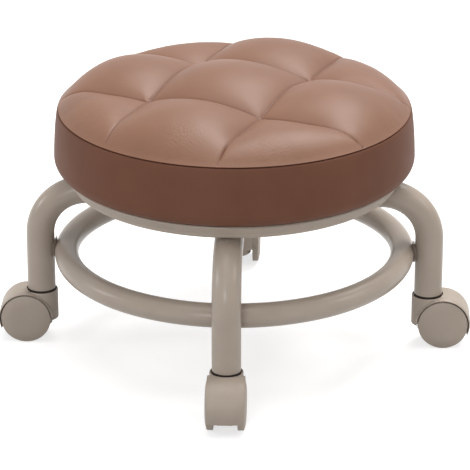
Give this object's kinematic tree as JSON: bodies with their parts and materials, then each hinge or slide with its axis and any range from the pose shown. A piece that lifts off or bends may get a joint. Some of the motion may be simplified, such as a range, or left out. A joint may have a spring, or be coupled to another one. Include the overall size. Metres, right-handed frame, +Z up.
{
  "type": "low rolling stool",
  "caption": "Low round stool with a quilted leather cushion on a bent-tube frame with a brace ring, rolling on swivelling hooded twin-wheel casters.",
  "frame": {"origin": "on the floor under the middle of the seat", "axes": "+Z up along the seat's axis, -Y towards the front leg, +X towards the right leg"},
  "size_m": [0.4226, 0.4226, 0.2575],
  "materials": {
    "top_leather": "satin grained brown upholstery leather, quilted",
    "side_leather": "satin grained brown upholstery leather, plain",
    "foam": "open-cell foam",
    "plywood": "raw plywood",
    "frame_paint": "satin warm grey powder coat",
    "pan_paint": "satin warm grey powder coat",
    "caster_plastic": "satin moulded nylon",
    "wheel_plastic": "satin moulded nylon",
    "socket_plastic": "matt black moulded plastic",
    "bright_steel": "zinc plated steel"
  },
  "bodies": {
    "frame": {"seat_top_panel": "top_leather", "seat_side_band": "side_leather", "seat_foam": "foam", "seat_board": "plywood", "cover_staples": "bright_steel", "board_tee_nuts": "bright_steel", "seat_screws": "bright_steel", "seat_washers": "bright_steel", "seat_pan": "pan_paint", "leg_arch": "frame_paint", "right_leg": "frame_paint", "left_leg": "frame_paint", "brace_ring": "frame_paint", "ring_welds": "frame_paint", "cross_welds": "frame_paint", "pan_welds": "frame_paint", "stem_grip_rings": "bright_steel", "stem_clips": "bright_steel", "front_caster_stem": "bright_steel", "front_leg_socket": "socket_plastic", "right_caster_stem": "bright_steel", "right_leg_socket": "socket_plastic", "rear_caster_stem": "bright_steel", "rear_leg_socket": "socket_plastic", "left_caster_stem": "bright_steel", "left_leg_socket": "socket_plastic"},
    "front_caster": {"front_caster_hood": "caster_plastic", "front_caster_axle": "bright_steel"},
    "front_caster_right_wheel": {"front_caster_right_wheel": "wheel_plastic"},
    "front_caster_left_wheel": {"front_caster_left_wheel": "wheel_plastic"},
    "right_caster": {"right_caster_hood": "caster_plastic", "right_caster_axle": "bright_steel"},
    "right_caster_rear_wheel": {"right_caster_rear_wheel": "wheel_plastic"},
    "right_caster_front_wheel": {"right_caster_front_wheel": "wheel_plastic"},
    "rear_caster": {"rear_caster_hood": "caster_plastic", "rear_caster_axle": "bright_steel"},
    "rear_caster_left_wheel": {"rear_caster_left_wheel": "wheel_plastic"},
    "rear_caster_right_wheel": {"rear_caster_right_wheel": "wheel_plastic"},
    "left_caster": {"left_caster_hood": "caster_plastic", "left_caster_axle": "bright_steel"},
    "left_caster_front_wheel": {"left_caster_front_wheel": "wheel_plastic"},
    "left_caster_rear_wheel": {"left_caster_rear_wheel": "wheel_plastic"}
  },
  "joints": [
    {"name": "front_swivel", "type": "hinge", "parent": "frame", "child": "front_caster", "pos_m": [0, -0.1732, 0.0465], "axis": [0, 0, 1], "continuous": true},
    {"name": "front_right_wheel_spin", "type": "hinge", "parent": "front_caster", "child": "front_caster_right_wheel", "pos_m": [0, -0.1868, 0.02225], "axis": [1, 0, 0], "continuous": true},
    {"name": "front_left_wheel_spin", "type": "hinge", "parent": "front_caster", "child": "front_caster_left_wheel", "pos_m": [0, -0.1868, 0.02225], "axis": [1, 0, 0], "continuous": true},
    {"name": "right_swivel", "type": "hinge", "parent": "frame", "child": "right_caster", "pos_m": [0.1732, 0, 0.0465], "axis": [0, 0, 1], "continuous": true},
    {"name": "right_rear_wheel_spin", "type": "hinge", "parent": "right_caster", "child": "right_caster_rear_wheel", "pos_m": [0.1868, 0, 0.02225], "axis": [0, 1, 0], "continuous": true},
    {"name": "right_front_wheel_spin", "type": "hinge", "parent": "right_caster", "child": "right_caster_front_wheel", "pos_m": [0.1868, 0, 0.02225], "axis": [0, 1, 0], "continuous": true},
    {"name": "rear_swivel", "type": "hinge", "parent": "frame", "child": "rear_caster", "pos_m": [0, 0.1732, 0.0465], "axis": [0, 0, 1], "continuous": true},
    {"name": "rear_left_wheel_spin", "type": "hinge", "parent": "rear_caster", "child": "rear_caster_left_wheel", "pos_m": [0, 0.1868, 0.02225], "axis": [-1, 0, 0], "continuous": true},
    {"name": "rear_right_wheel_spin", "type": "hinge", "parent": "rear_caster", "child": "rear_caster_right_wheel", "pos_m": [0, 0.1868, 0.02225], "axis": [-1, 0, 0], "continuous": true},
    {"name": "left_swivel", "type": "hinge", "parent": "frame", "child": "left_caster", "pos_m": [-0.1732, 0, 0.0465], "axis": [0, 0, 1], "continuous": true},
    {"name": "left_front_wheel_spin", "type": "hinge", "parent": "left_caster", "child": "left_caster_front_wheel", "pos_m": [-0.1868, 0, 0.02225], "axis": [0, -1, 0], "continuous": true},
    {"name": "left_rear_wheel_spin", "type": "hinge", "parent": "left_caster", "child": "left_caster_rear_wheel", "pos_m": [-0.1868, 0, 0.02225], "axis": [0, -1, 0], "continuous": true}
  ]
}
